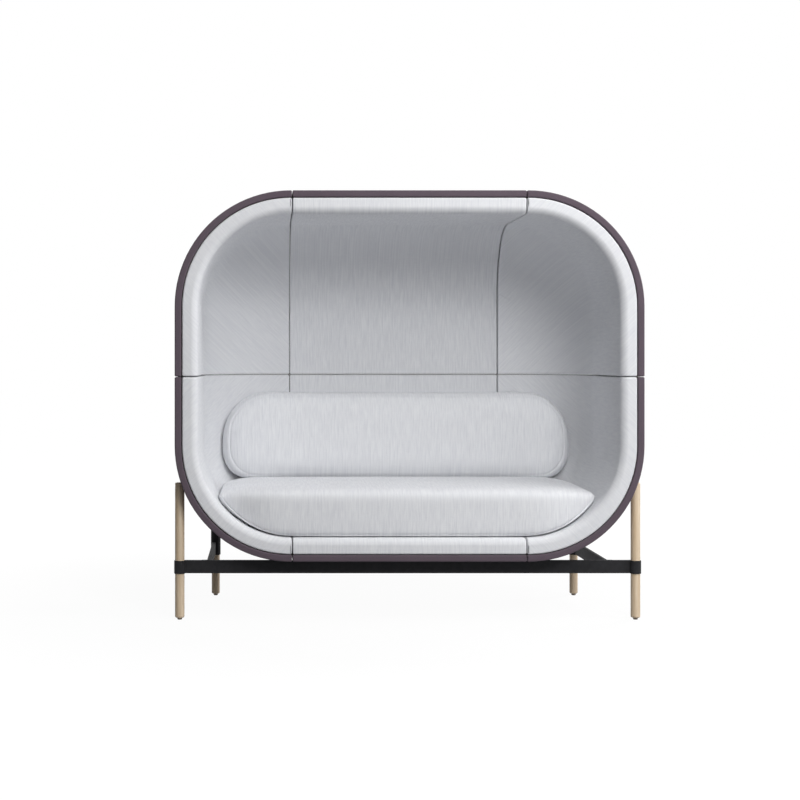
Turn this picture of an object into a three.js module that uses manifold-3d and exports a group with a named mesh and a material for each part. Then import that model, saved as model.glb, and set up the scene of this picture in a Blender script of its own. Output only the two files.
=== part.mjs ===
// A two-seat high back lounge: a hooded padded shell on a steel and timber underframe.
// Millimetres, +Z up, +X to the right as seen from the front, the open side faces -Y.
// The origin is on the floor, under the middle of the shell.

import * as THREE from "three";
import { mergeVertices } from "three/addons/utils/BufferGeometryUtils.js";
import Module from "manifold-3d";

const wasm = await Module();
wasm.setup();

// Shell: a rounded rectangle seen from the front, its walls run back and turn into the back wall
const shellWidth = 1570;
const shellDepth = 730;
const shellHeight = 1241;
const groundClearance = 205;
const cornerRadius = 388;
const innerFillet = 240;
const cornerModuleWidth = 393;
const lowerHeight = 618;
const seamGap = 0.8;
const layerGap = 0.3;

// Layers of the shell wall, from the outside in
const coverThickness = 12;
const boardThickness = 12.4;
const padThickness = 53;
const rimLipDepth = 12;
const rimEdge = 3;
const padEdge = 25;

// Plates that join the boards across the seams, let into their inner face
const joinerLength = 80;
const joinerWidth = 30;
const joinerThickness = 3;
const joinerPinDiameter = 8;
const joinerPinDepth = 5;
const joinerSideShare = 0.26;
const joinerHeightShare = 0.35;

// Seat cushion
const seatFrontInset = 22;
const seatBackInset = 30;
const seatThickness = 158;
const seatCrown = 7;
const seatTipInset = 68;
const seatTipDrop = 14;
const seatTipThickness = 22;
const seatFrontRoll = 28;
const seatFootRoll = 14;
const seatCurveClearance = 4;
const seatBulge = 7;
const seatRestGap = 0.3;

// Back bolster
const bolsterTipInset = 67;
const bolsterHeight = 308;
const bolsterThickness = 198;
const bolsterUpperCorner = 168;
const bolsterLowerCorner = 112;
const bolsterBackGap = 2;
const bolsterCurveClearance = 12;

// Underframe
const shellStandOff = 5;
const railHeight = 44;
const railThickness = 12;
const railSetback = 1;
const frontLegDiameter = 32;
const frontLegInset = 13;
const frontLegSetback = 76;
const frontLegBite = 7;
const rearLegDiameter = 30;
const rearLegInset = 117;
const rearLegBackInset = 136;
const tubeWall = 2.7;
const legFit = 0.3;
const uprightDrop = 4;
const socketDepth = 40;
const legEdge = 7;
const legTopEdge = 5;

// Fixings of the underframe to the shell
const tabInset = 92;
const tabWidth = 40;
const tabDepth = 32;
const tabThickness = 4;
const spacerDiameter = 26;
const plateWidth = 66;
const plateLength = 92;
const plateThickness = 4;
const plateScrewPitch = 50;
const rubberThickness = 7;
const rubberCut = 15;
const endPlateWidth = 46;
const endPlateThickness = 4;
const railBoltPitch = 28;
const railBoltReach = 9;
const legScrewReach = 11;
const legBoltFromTop = 12;
const legBoltSink = 1.5;
const anchorShare = 0.7;

// Glides under the legs
const glideDiameter = 16;
const glideHeight = 6;
const glideEdge = 2;
const glidePinDiameter = 5;
const glidePinLength = 14;

// Bolts and screws: head diameter, head height, shank diameter, key recess and edge
const bolt = { head: 14, rise: 5, shank: 8, recess: 5, sink: 2, edge: 1 };
const screw = { head: 10, rise: 4, shank: 5, recess: 3.5, sink: 1.5, edge: 0.8 };

// Cutters run past what they cut by this much
const overrun = 20;
const weldDistance = 0.001;
const leastRadius = 1;

// Counts
const cornerSteps = 8;
const filletSteps = 6;
const edgeSteps = 3;
const roundSides = 16;
const screwSides = 8;

// Finishes as the photograph shows them
const finishes = {
  cover: { color: "#665b64", roughness: 0.9, metalness: 0 },
  pad: { color: "#e3e4e8", roughness: 0.95, metalness: 0 },
  board: { color: "#37302d", roughness: 0.7, metalness: 0 },
  cushion: { color: "#dfe0e4", roughness: 0.95, metalness: 0 },
  steel: { color: "#2b2b2d", roughness: 0.45, metalness: 0.6 },
  timber: { color: "#d1c0aa", roughness: 0.55, metalness: 0 },
  glide: { color: "#1d1d1f", roughness: 0.5, metalness: 0 },
  rubber: { color: "#232324", roughness: 0.85, metalness: 0 },
  zinc: { color: "#8d9094", roughness: 0.4, metalness: 0.9 },
};

const liningOffset = coverThickness + layerGap + boardThickness;
const padOffset = liningOffset + layerGap;
const wallThickness = padOffset + padThickness;
const filletOffset = wallThickness + innerFillet;
const centreWidth = shellWidth - 2 * cornerModuleWidth;
const frontY = -shellDepth / 2;
const midHeight = groundClearance + shellHeight / 2;
const seamHeight = groundClearance + lowerHeight;
const cornerX = shellWidth / 2 - cornerRadius;
const cornerZ = groundClearance + cornerRadius;
const railTop = groundClearance - shellStandOff;
const railMiddle = railTop - railHeight / 2;

const lounge = new THREE.Group();

// A closed mesh with shared corners and its faces pointing out
function closed(geometry) {
  const bare = new THREE.BufferGeometry();
  bare.setAttribute("position", geometry.getAttribute("position").clone());
  if (geometry.getIndex()) bare.setIndex(geometry.getIndex().clone());
  const merged = mergeVertices(bare, weldDistance);
  const kept = [];
  const corners = merged.getIndex().array;
  for (let i = 0; i < corners.length; i += 3) {
    const [a, b, c] = corners.slice(i, i + 3);
    if (a !== b && b !== c && c !== a) kept.push(a, b, c);
  }
  if (signedVolume(merged.getAttribute("position"), kept) < 0) kept.reverse();
  merged.setIndex(kept);
  return merged;
}

function signedVolume(position, corners) {
  const [a, b, c] = [new THREE.Vector3(), new THREE.Vector3(), new THREE.Vector3()];
  let sum = 0;
  for (let i = 0; i < corners.length; i += 3) {
    a.fromBufferAttribute(position, corners[i]);
    b.fromBufferAttribute(position, corners[i + 1]);
    c.fromBufferAttribute(position, corners[i + 2]);
    sum += a.dot(b.cross(c));
  }
  return sum;
}

function solidOf(geometry) {
  const mesh = closed(geometry);
  const vertProperties = new Float32Array(mesh.getAttribute("position").array);
  const triVerts = new Uint32Array(mesh.getIndex().array);
  return new wasm.Manifold(new wasm.Mesh({ numProp: 3, vertProperties, triVerts }));
}

function geometryOf(solid) {
  const mesh = solid.getMesh();
  const geometry = new THREE.BufferGeometry();
  geometry.setAttribute("position", new THREE.BufferAttribute(mesh.vertProperties, 3));
  geometry.setIndex(new THREE.BufferAttribute(mesh.triVerts, 1));
  return geometry;
}

// The level direction across a face that looks along out
function levelAcross(out) {
  const across = new THREE.Vector3(0, 0, 1).cross(out);
  return across.length() > 0 ? across.normalize() : new THREE.Vector3(1, 0, 0);
}

// The turn that makes what is drawn along +Z look along out, with one side kept level
function facing(out) {
  const across = levelAcross(out);
  return new THREE.Matrix4().makeBasis(across, new THREE.Vector3().crossVectors(out, across), out);
}

function placed(geometry, place, out) {
  return geometry.clone().applyMatrix4(facing(out)).translate(place.x, place.y, place.z);
}

function piece(name, geometry, finish) {
  const shape = closed(geometry);
  shape.computeVertexNormals();
  const mesh = new THREE.Mesh(shape, new THREE.MeshStandardMaterial(finishes[finish]));
  mesh.name = name;
  lounge.add(mesh);
  return mesh;
}

// A body of revolution about +Z from points of radius and height
function turned(points, sides) {
  const profile = points.map(([radius, height]) => new THREE.Vector2(radius, height));
  return new THREE.LatheGeometry(profile, sides).rotateX(Math.PI / 2);
}

function rod(diameter, from, to, sides = roundSides) {
  return turned([[0, from], [diameter / 2, from], [diameter / 2, to], [0, to]], sides);
}

function block(low, high) {
  const size = new THREE.Vector3().subVectors(high, low);
  const middle = new THREE.Vector3().addVectors(low, high).divideScalar(2);
  return new THREE.BoxGeometry(size.x, size.y, size.z).translate(middle.x, middle.y, middle.z);
}

// A skin over rings of equal point count, its two end rings closed by flat fans
function lofted(rings) {
  const count = rings[0].length;
  const points = rings.flat();
  const corners = [];
  for (let r = 0; r + 1 < rings.length; r++) {
    for (let j = 0; j < count; j++) {
      const [a, b] = [r * count + j, r * count + (j + 1) % count];
      corners.push(a, b, b + count, a, b + count, a + count);
    }
  }
  const ends = [rings[0], rings[rings.length - 1]];
  ends.forEach((ring, side) => {
    const hub = ring.reduce((sum, p) => sum.add(p), new THREE.Vector3()).divideScalar(count);
    const start = side * (rings.length - 1) * count;
    for (let j = 0; j < count; j++) {
      const [a, b] = [start + j, start + (j + 1) % count];
      corners.push(points.length, ...(side ? [a, b] : [b, a]));
    }
    points.push(hub);
  });
  const geometry = new THREE.BufferGeometry().setFromPoints(points);
  geometry.setIndex(corners);
  return geometry;
}

// The shell's outline at a distance inside its outer face, at one depth
function outlineRing(offset, depth) {
  const radius = Math.max(cornerRadius - offset, leastRadius);
  const centreX = shellWidth / 2 - offset - radius;
  const centreZ = shellHeight / 2 - offset - radius;
  const ring = [];
  const quarters = [[1, 1], [-1, 1], [-1, -1], [1, -1]];
  quarters.forEach(([sideX, sideZ], quarter) => {
    for (let i = 0; i <= cornerSteps; i++) {
      const angle = (quarter + i / cornerSteps) * Math.PI / 2;
      const x = sideX * centreX + radius * Math.cos(angle);
      const z = sideZ * centreZ + radius * Math.sin(angle);
      ring.push(new THREE.Vector3(x, frontY + depth, midHeight + z));
    }
  });
  return ring;
}

// Points of offset and depth where a face at one offset turns into the back wall
function filletPoints(offset) {
  const radius = filletOffset - offset;
  const points = [];
  for (let i = 0; i <= filletSteps; i++) {
    const angle = (i / filletSteps) * Math.PI / 2;
    const reach = filletOffset - radius * Math.cos(angle);
    points.push([reach, shellDepth - filletOffset + radius * Math.sin(angle)]);
  }
  return points;
}

function edgePoints(cornerOffset, cornerDepth, radius, steps) {
  const points = [];
  for (let i = 0; i <= steps; i++) {
    const angle = (i / steps) * Math.PI / 2;
    const inward = radius * (1 - Math.sin(angle));
    points.push([cornerOffset - inward, cornerDepth + radius * (1 - Math.cos(angle))]);
  }
  return points;
}

function bowl(outerOffset, rim, innerOffset) {
  const outer = filletPoints(outerOffset).reverse();
  const profile = [...outer, ...rim, ...filletPoints(innerOffset)];
  return solidOf(lofted(profile.map(([offset, depth]) => outlineRing(offset, depth))));
}

// The space that the shell fills, a little larger, to shape what bears on its outside
function shellEnvelope() {
  const profile = [...filletPoints(-layerGap).reverse(), [-layerGap, 0]];
  return solidOf(lofted(profile.map(([offset, depth]) => outlineRing(offset, depth))));
}

const coverRim = [
  [0, rimEdge],
  [rimEdge, 0],
  [liningOffset - rimEdge, 0],
  [liningOffset, rimEdge],
  [liningOffset, rimLipDepth],
  [coverThickness, rimLipDepth],
];
const boardFront = rimLipDepth + layerGap;
const boardRim = [[coverThickness + layerGap, boardFront], [liningOffset, boardFront]];
const padRim = [[padOffset, 0], ...edgePoints(wallThickness, 0, padEdge, edgeSteps)];

const layers = {
  cover: bowl(0, coverRim, coverThickness),
  board: bowl(coverThickness + layerGap, boardRim, liningOffset),
  pad: bowl(padOffset, padRim, wallThickness),
};

// Six modules: three across, two up, parted by the seams
const half = seamGap / 2;
const sideReach = shellWidth / 2 + overrun;
const columns = {
  left: [-sideReach, -centreWidth / 2 - half],
  centre: [-centreWidth / 2 + half, centreWidth / 2 - half],
  right: [centreWidth / 2 + half, sideReach],
};
const rows = {
  upper: [seamHeight + half, groundClearance + shellHeight + overrun],
  lower: [groundClearance - overrun, seamHeight - half],
};

function moduleCell(row, column) {
  const low = new THREE.Vector3(columns[column][0], frontY - overrun, rows[row][0]);
  const high = new THREE.Vector3(columns[column][1], -frontY + overrun, rows[row][1]);
  return solidOf(block(low, high));
}

// Depth of the padded wall's inner face at a distance inside the shell's outline
function innerDepth(offset) {
  const short = Math.max(filletOffset - offset, 0);
  const run = Math.sqrt(Math.max(innerFillet ** 2 - short ** 2, 0));
  return shellDepth - filletOffset + run;
}

// Distance of a point inside the shell's outline, seen from the front
function insideOutline(x, z) {
  const sideX = Math.abs(x) - cornerX;
  const sideZ = Math.abs(z - midHeight) - (shellHeight / 2 - cornerRadius);
  const outside = Math.hypot(Math.max(sideX, 0), Math.max(sideZ, 0));
  return cornerRadius - outside - Math.min(Math.max(sideX, sideZ), 0);
}

// Height of a face inside the shell's floor at a place across and a depth
function floorHeight(offset, x, depth, clearance) {
  const turn = Math.max(depth - (shellDepth - filletOffset), 0);
  const radius = filletOffset - offset;
  const rise = radius - Math.sqrt(Math.max(radius ** 2 - turn ** 2, 0));
  const arm = Math.max(cornerRadius - offset - rise - clearance, leastRadius);
  const across = Math.min(Math.max(Math.abs(x) - cornerX, 0), arm);
  return cornerZ - Math.sqrt(arm ** 2 - across ** 2);
}

// Seat cushion: a crowned slab whose ends and rear foot follow the curve of the shell
const seatHalf = shellWidth / 2 - wallThickness - seatTipInset;
const seatBack = shellDepth - wallThickness - seatBackInset;
const seatFloor = groundClearance + wallThickness + seatRestGap;
const seatStationShares = [-1, -0.99, -0.96, -0.92, -0.85, -0.77, -0.69, -0.6, -0.45, -0.25, 0];
const seatStations = [...seatStationShares, ...seatStationShares.slice(0, -1).map((s) => -s).reverse()];
const seatTopShares = [0.12, 0.24, 0.38, 0.54, 0.7, 0.86];
const seatCrownPower = 7;
const seatFallPower = 14;
const seatEdgeShare = 0.34;

function seatTop(across, along) {
  const edge = seatFloor + seatThickness - seatTipDrop * Math.abs(across) ** seatFallPower;
  const cross = 1 - (1 - seatEdgeShare) * Math.abs(across) ** seatCrownPower;
  return edge + seatCrown * cross * Math.sin(Math.min(along / (1 - seatEdgeShare), 1) * Math.PI / 2);
}

function seatUnderside(x, depth) {
  const turn = Math.max(depth - (shellDepth - filletOffset), 0);
  const bend = Math.max(Math.abs(x) - cornerX + seatFrontRoll, turn, 0);
  const clearance = seatRestGap + (seatCurveClearance - seatRestGap) * Math.min(bend / seatFrontRoll, 1);
  return floorHeight(wallThickness, x, depth, clearance);
}

// How far back the seat reaches before the curving wall leaves it too thin
function seatReach(x, top) {
  const across = Math.max(Math.abs(x) - cornerX, 0);
  const arm = Math.hypot(across, cornerZ - top + seatTipThickness);
  const rise = Math.min(Math.max(cornerRadius - wallThickness - seatCurveClearance - arm, 0), innerFillet);
  const turn = Math.sqrt(innerFillet ** 2 - (innerFillet - rise) ** 2);
  return Math.min(seatBack, shellDepth - filletOffset + turn);
}

function seatSection(share) {
  const x = share * seatHalf;
  const front = seatFrontInset + seatBulge * Math.abs(share) ** seatCrownPower;
  const topEnd = seatTop(share, 1);
  const back = seatReach(x, topEnd);
  const foot = seatUnderside(x, front);
  const face = seatTop(share, 0) - foot;
  const rear = (topEnd - seatUnderside(x, back)) / 2;
  const [toe, roll] = [Math.min(seatFootRoll, face / 4), Math.min(seatFrontRoll, face / 2)];
  const heel = Math.max(Math.min(seatFrontRoll, rear), leastRadius);
  const section = [];
  const round = (centre, height, radius, start) => {
    for (let i = 0; i <= edgeSteps; i++) {
      const angle = (start + i / edgeSteps) * Math.PI / 2;
      const along = centre + radius * Math.cos(angle);
      section.push(new THREE.Vector3(x, frontY + along, height + radius * Math.sin(angle)));
    }
  };
  const step = (along, height) => section.push(new THREE.Vector3(x, frontY + along, height));
  const reaches = seatTopShares.map((along) => front + (back - front) * along);
  round(back - heel, topEnd - heel, heel, 0);
  [...reaches].reverse().forEach((reach) => step(reach, seatTop(share, (reach - front) / (back - front))));
  round(front + roll, foot + face - roll, roll, 1);
  round(front + toe, foot + toe, toe, 2);
  reaches.forEach((reach) => step(reach, seatUnderside(x, reach)));
  return section;
}

piece("seat_cushion", lofted(seatStations.map(seatSection)), "cushion");

// Back bolster: a pillow that stands on the seat and leans on the back wall
const bolsterWidth = shellWidth - 2 * (wallThickness + bolsterTipInset);
const bolsterStandShare = 0.85;
const bolsterMiddle = shellDepth - wallThickness - bolsterBackGap - bolsterThickness / 2;
const bolsterRingShares = [0.2, 0.5, 0.76, 0.9, 0.97, 1];
const bolsterCornerSteps = 6;
const bolsterFullness = 3.8;

function bolsterOutline(share) {
  const points = [];
  const quarters = [
    [1, 1, bolsterUpperCorner], [-1, 1, bolsterUpperCorner],
    [-1, -1, bolsterLowerCorner], [1, -1, bolsterLowerCorner],
  ];
  quarters.forEach(([sideX, sideZ, radius], quarter) => {
    const straight = bolsterWidth / 2 - radius;
    for (let i = 0; i <= bolsterCornerSteps; i++) {
      const angle = (quarter + i / bolsterCornerSteps) * Math.PI / 2;
      const x = sideX * straight + radius * Math.cos(angle);
      const z = sideZ * (bolsterHeight / 2 - radius) + radius * Math.sin(angle);
      points.push([share * x, share * z]);
    }
    const run = seatStations.map((station) => -sideZ * station * seatHalf);
    const between = run.filter((x) => Math.abs(x) < straight);
    if (quarter % 2 === 0) between.forEach((x) => points.push([share * x, share * sideZ * bolsterHeight / 2]));
  });
  return points;
}

function bolsterRing(share, side) {
  const swell = (1 - share ** bolsterFullness) ** (1 / bolsterFullness);
  return bolsterOutline(share).map(([x, z]) => {
    const drop = seatTop(x / seatHalf, bolsterStandShare) - seatTop(0, bolsterStandShare);
    const low = (1 / 2 - z / bolsterHeight) * drop;
    const height = seatTop(0, bolsterStandShare) + seatRestGap + bolsterHeight / 2 + z + low;
    const offset = insideOutline(x, height);
    const bend = Math.min(Math.max(filletOffset - offset, 0) / innerFillet, 1);
    const clearance = bolsterBackGap + (bolsterCurveClearance - bolsterBackGap) * Math.sqrt(bend);
    const wall = innerDepth(offset) - clearance;
    const depth = bolsterMiddle + side * swell * bolsterThickness / 2;
    return new THREE.Vector3(x, frontY + Math.min(depth, wall), height);
  });
}

const bolsterBackRings = bolsterRingShares.map((share) => bolsterRing(share, 1));
const bolsterFrontRings = bolsterRingShares.slice(0, -1).map((share) => bolsterRing(share, -1));
piece("back_bolster", lofted([...bolsterBackRings, ...bolsterFrontRings.reverse()]), "cushion");

// Bolts and screws, drawn with the underside of the head at zero and the shank below
function fastener(size, length) {
  const [head, shank, key] = [size.head / 2, size.shank / 2, size.recess / 2];
  return turned([
    [0, size.rise - size.sink], [key, size.rise - size.sink], [key, size.rise],
    [head - size.edge, size.rise], [head, size.rise - size.edge], [head, 0],
    [shank, 0], [shank, -length], [0, -length],
  ], screwSides);
}

const shellFixings = [];
const railFixings = [];

// seat is the face under the head, out points from the tip to the head
function fix(name, size, seat, out, length) {
  const place = seat.clone().addScaledVector(out, layerGap);
  const mesh = piece(name, fastener(size, length), "zinc");
  mesh.position.copy(place);
  mesh.quaternion.setFromRotationMatrix(facing(out));
  return { size, place, out, length };
}

function shankHole({ size, place, out, length }) {
  const bore = rod(size.shank + 2 * layerGap, -length - layerGap, size.rise + overrun, screwSides);
  return solidOf(placed(bore, place, out));
}

function headHole({ size, place, out }) {
  const bore = rod(size.head + 2 * layerGap, -layerGap, size.rise + overrun, screwSides);
  return solidOf(placed(bore, place, out));
}

function drilled(solid, holes) {
  return holes.reduce((rest, hole) => rest.subtract(hole), solid);
}

const sides = { left: -1, right: 1 };
const envelope = shellEnvelope();

// Places of the legs, for the left and the right side
const frontLegX = shellWidth / 2 - frontLegInset;
const frontLegY = frontY + frontLegSetback;
const rearLegX = shellWidth / 2 - rearLegInset;
const rearLegY = -frontY - rearLegBackInset;
const frontLegReach = Math.min(frontLegX - frontLegDiameter / 2 + frontLegBite - cornerX, cornerRadius);
const frontLegTop = cornerZ - Math.sqrt(cornerRadius ** 2 - frontLegReach ** 2);
const collarDiameter = frontLegDiameter + 2 * (legFit + tubeWall);
const uprightDiameter = rearLegDiameter + 2 * (legFit + tubeWall);
const uprightBottom = railTop - railHeight - uprightDrop;
const railFront = frontLegY + railSetback;
const railBack = railFront + railThickness;

// Where a rear upright meets the curved shell, and the way the shell's face looks there
function uprightSeat(side) {
  const depth = rearLegY - frontY;
  const height = floorHeight(0, rearLegX, depth, 0);
  const lean = Math.asin(Math.min(Math.max(depth - (shellDepth - filletOffset), 0) / filletOffset, 1));
  const flat = new THREE.Vector2(rearLegX - cornerX, height - cornerZ).normalize();
  const out = new THREE.Vector3(side * flat.x, Math.tan(lean), flat.y).normalize();
  return { place: new THREE.Vector3(side * rearLegX, rearLegY, height), out };
}

// A turned leg with rounded ends and a blind hole for the pin of its glide
function legSolid(diameter, x, y, top) {
  const [radius, pin] = [diameter / 2, glidePinDiameter / 2 + layerGap];
  const foot = glideHeight + layerGap;
  const hole = foot + glidePinLength + layerGap;
  const [round, rim] = [[], []];
  for (let i = 0; i <= edgeSteps; i++) {
    const angle = i / edgeSteps * Math.PI / 2;
    const [sine, cosine] = [Math.sin(angle), Math.cos(angle)];
    round.push([radius - legEdge * (1 - sine), foot + legEdge * (1 - cosine)]);
    rim.push([radius - legTopEdge * (1 - cosine), top - legTopEdge * (1 - sine)]);
  }
  return solidOf(turned([[0, hole], [pin, hole], [pin, foot], ...round, ...rim, [0, top]], roundSides)
    .translate(x, y, 0));
}

function glide(name, x, y) {
  const [radius, pin] = [glideDiameter / 2, glidePinDiameter / 2];
  const mesh = piece(name, turned([
    [0, 0], [radius - glideEdge, 0], [radius, glideEdge], [radius, glideHeight],
    [pin, glideHeight], [pin, glideHeight + glidePinLength], [0, glideHeight + glidePinLength],
  ], roundSides), "glide");
  mesh.position.set(x, y, 0);
}

// Front legs: through the collar of the rail, bolted at the top to the side of the shell
function frontLeg(name, side) {
  const x = side * frontLegX;
  const boltHeight = frontLegTop - legBoltFromTop;
  const anchor = coverThickness + layerGap + boardThickness * anchorShare;
  const arm = Math.sqrt((cornerRadius - anchor) ** 2 - (cornerZ - boltHeight) ** 2);
  const seat = frontLegX + frontLegDiameter / 2 - screw.rise - legBoltSink - layerGap;
  const boltPlace = new THREE.Vector3(side * seat, frontLegY, boltHeight);
  const outward = new THREE.Vector3(side, 0, 0);
  const topBolt = fix(`leg_top_bolt_${name}`, screw, boltPlace, outward, seat - cornerX - arm);
  const collarBack = new THREE.Vector3(x, frontLegY + collarDiameter / 2, railMiddle);
  const rearward = new THREE.Vector3(0, 1, 0);
  const reach = tubeWall + legFit + legScrewReach;
  const collarScrew = fix(`collar_screw_${name}`, screw, collarBack, rearward, reach);
  shellFixings.push(topBolt);
  railFixings.push(collarScrew);
  const holes = [shankHole(topBolt), headHole(topBolt), shankHole(collarScrew), envelope];
  const leg = drilled(legSolid(frontLegDiameter, x, frontLegY, frontLegTop), holes);
  piece(`front_leg_${name}`, geometryOf(leg), "timber");
  glide(`front_glide_${name}`, x, frontLegY);
}

// Rear legs: short, plugged into the steel uprights from below
function rearLeg(name, side) {
  const x = side * rearLegX;
  const tubeBack = new THREE.Vector3(x, rearLegY + uprightDiameter / 2, uprightBottom + socketDepth / 2);
  const rearward = new THREE.Vector3(0, 1, 0);
  const reach = tubeWall + legFit + legScrewReach;
  const holder = fix(`upright_screw_${name}`, screw, tubeBack, rearward, reach);
  const leg = legSolid(rearLegDiameter, x, rearLegY, uprightBottom + socketDepth);
  piece(`rear_leg_${name}`, geometryOf(leg.subtract(shankHole(holder))), "timber");
  glide(`rear_glide_${name}`, x, rearLegY);
  return holder;
}

// Rubber spacers and the bolts that hold the shell to the tabs of the front rail
const tabX = centreWidth / 2 - tabInset;
const tabMiddle = railBack + tabDepth / 2;
for (const [name, side] of Object.entries(sides)) {
  const under = new THREE.Vector3(side * tabX, tabMiddle, railTop - tabThickness);
  const reach = tabThickness + shellStandOff + coverThickness + boardThickness * anchorShare;
  const holder = fix(`shell_bolt_${name}`, bolt, under, new THREE.Vector3(0, 0, -1), reach);
  const disc = rod(spacerDiameter, railTop + layerGap, groundClearance - layerGap);
  const spacer = solidOf(disc.translate(side * tabX, tabMiddle, 0)).subtract(shankHole(holder));
  piece(`shell_spacer_${name}`, geometryOf(spacer), "rubber");
  shellFixings.push(holder);
  railFixings.push(holder);
}

// Side rails butt on the back of the front rail and carry the rear uprights
const sideRailX = rearLegX + railThickness / 2;
const endPlateBack = railBack + layerGap + endPlateThickness;

function sideRail(name, side, holder) {
  const { place, out } = uprightSeat(side);
  const plateFace = place.clone().addScaledVector(out, rubberThickness + 2 * layerGap);
  const outerFace = plateFace.clone().addScaledVector(out, plateThickness);

  const screws = [-1, 1].map((way, index) => {
    const seat = outerFace.clone().addScaledVector(levelAcross(out), way * plateScrewPitch / 2);
    const anchor = coverThickness + boardThickness * anchorShare;
    const reach = plateThickness + rubberThickness + 2 * layerGap + anchor;
    return fix(`plate_screw_${name}_${index + 1}`, screw, seat, out, reach);
  });
  const x = side * sideRailX;
  const bolts = [-1, 1].map((way, index) => {
    const seat = new THREE.Vector3(x + way * railBoltPitch / 2, endPlateBack, railMiddle);
    const reach = endPlateThickness + 2 * layerGap + railBoltReach;
    return fix(`rail_bolt_${name}_${index + 1}`, screw, seat, new THREE.Vector3(0, 1, 0), reach);
  });
  shellFixings.push(...screws);
  railFixings.push(...bolts);

  const slab = new THREE.BoxGeometry(plateWidth, plateLength, plateThickness);
  const plate = solidOf(placed(slab.translate(0, 0, plateThickness / 2), plateFace, out));
  const inside = new THREE.BoxGeometry(2 * plateLength, 2 * plateLength, 2 * plateLength);
  const lift = plateThickness / 2 - plateLength;
  const beyond = solidOf(placed(inside.translate(0, 0, lift), plateFace, out));
  const tube = rod(uprightDiameter, uprightBottom, place.z).translate(place.x, place.y, 0);
  const bore = rod(rearLegDiameter + 2 * legFit, uprightBottom - overrun, place.z + overrun);
  const boreSolid = solidOf(bore.translate(place.x, place.y, 0));
  const upright = solidOf(tube).subtract(boreSolid).subtract(beyond);

  const low = new THREE.Vector3(x - railThickness / 2, railBack + layerGap, railTop - railHeight);
  const high = new THREE.Vector3(x + railThickness / 2, rearLegY, railTop);
  const bar = solidOf(block(low, high)).subtract(boreSolid);
  const plateLow = new THREE.Vector3(x - endPlateWidth / 2, low.y, low.z);
  const plateHigh = new THREE.Vector3(x + endPlateWidth / 2, endPlateBack, high.z);
  const endPlate = solidOf(block(plateLow, plateHigh));
  const holes = [...screws, ...bolts, holder].map(shankHole);
  const rail = drilled(bar.add(endPlate).add(upright).add(plate), holes);
  piece(`side_rail_${name}`, geometryOf(rail), "steel");

  const uncut = rubberThickness + rubberCut;
  const rest = new THREE.BoxGeometry(plateWidth, plateLength, uncut).translate(0, 0, -uncut / 2);
  const restPlace = plateFace.clone().addScaledVector(out, -layerGap);
  const restBlock = solidOf(placed(rest, restPlace, out));
  piece(`shell_rest_${name}`, geometryOf(drilled(restBlock, [envelope, ...screws.map(shankHole)])), "rubber");
}

for (const [name, side] of Object.entries(sides)) {
  frontLeg(name, side);
  sideRail(name, side, rearLeg(name, side));
}

// Front rail: a flat bar with a collar round each front leg and two tabs behind it
const railLow = new THREE.Vector3(-frontLegX, railFront, railTop - railHeight);
const railHigh = new THREE.Vector3(frontLegX, railBack, railTop);
let frontRail = solidOf(block(railLow, railHigh));
for (const side of Object.values(sides)) {
  const collar = rod(collarDiameter, railTop - railHeight, railTop).translate(side * frontLegX, frontLegY, 0);
  const low = new THREE.Vector3(side * tabX - tabWidth / 2, railFront, railTop - tabThickness);
  const high = new THREE.Vector3(side * tabX + tabWidth / 2, railBack + tabDepth, railTop);
  frontRail = frontRail.add(solidOf(collar)).add(solidOf(block(low, high)));
}
const legBores = Object.values(sides).map((side) => {
  const bore = rod(frontLegDiameter + 2 * legFit, railTop - railHeight - overrun, railTop + overrun);
  return solidOf(bore.translate(side * frontLegX, frontLegY, 0));
});
frontRail = drilled(frontRail, [...legBores, ...railFixings.map(shankHole)]);
piece("front_rail", geometryOf(frontRail), "steel");

// Joining plates: across the seams of the back wall, each with two pins into the boards
const joinerDepth = shellDepth - liningOffset;
const flatTop = shellHeight / 2 - filletOffset;
const joiners = [
  { name: "upper_left", x: -centreWidth / 2, z: seamHeight + flatTop * joinerHeightShare * 2, along: "x" },
  { name: "upper_right", x: centreWidth / 2, z: seamHeight + flatTop * joinerHeightShare * 2, along: "x" },
  { name: "lower_left", x: -centreWidth / 2, z: seamHeight - flatTop * joinerHeightShare * 2, along: "x" },
  { name: "lower_right", x: centreWidth / 2, z: seamHeight - flatTop * joinerHeightShare * 2, along: "x" },
  { name: "middle_left", x: -centreWidth * joinerSideShare, z: seamHeight, along: "z" },
  { name: "middle_right", x: centreWidth * joinerSideShare, z: seamHeight, along: "z" },
];

// A joining plate, or with a margin the pocket that it lies in
function joinerShape({ x, z, along }, margin) {
  const size = new THREE.Vector2(joinerLength, joinerWidth).addScalar(2 * margin);
  const [wide, high] = along === "x" ? [size.x, size.y] : [size.y, size.x];
  const front = frontY + joinerDepth - (margin ? overrun / 2 : 0);
  const back = frontY + joinerDepth + joinerThickness + margin;
  const low = new THREE.Vector3(x - wide / 2, front, z - high / 2);
  const top = new THREE.Vector3(x + wide / 2, back, z + high / 2);
  let shape = solidOf(block(low, top));
  for (const way of [-1, 1]) {
    const step = way * joinerLength / 4;
    const middle = new THREE.Vector3(x + (along === "x" ? step : 0), front, z + (along === "z" ? step : 0));
    const pin = rod(joinerPinDiameter + 2 * margin, 0, back - front + joinerPinDepth, screwSides);
    shape = shape.add(solidOf(placed(pin, middle, new THREE.Vector3(0, 1, 0))));
  }
  return shape;
}

joiners.forEach((joiner) => piece(`joining_plate_${joiner.name}`, geometryOf(joinerShape(joiner, 0)), "zinc"));

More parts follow.
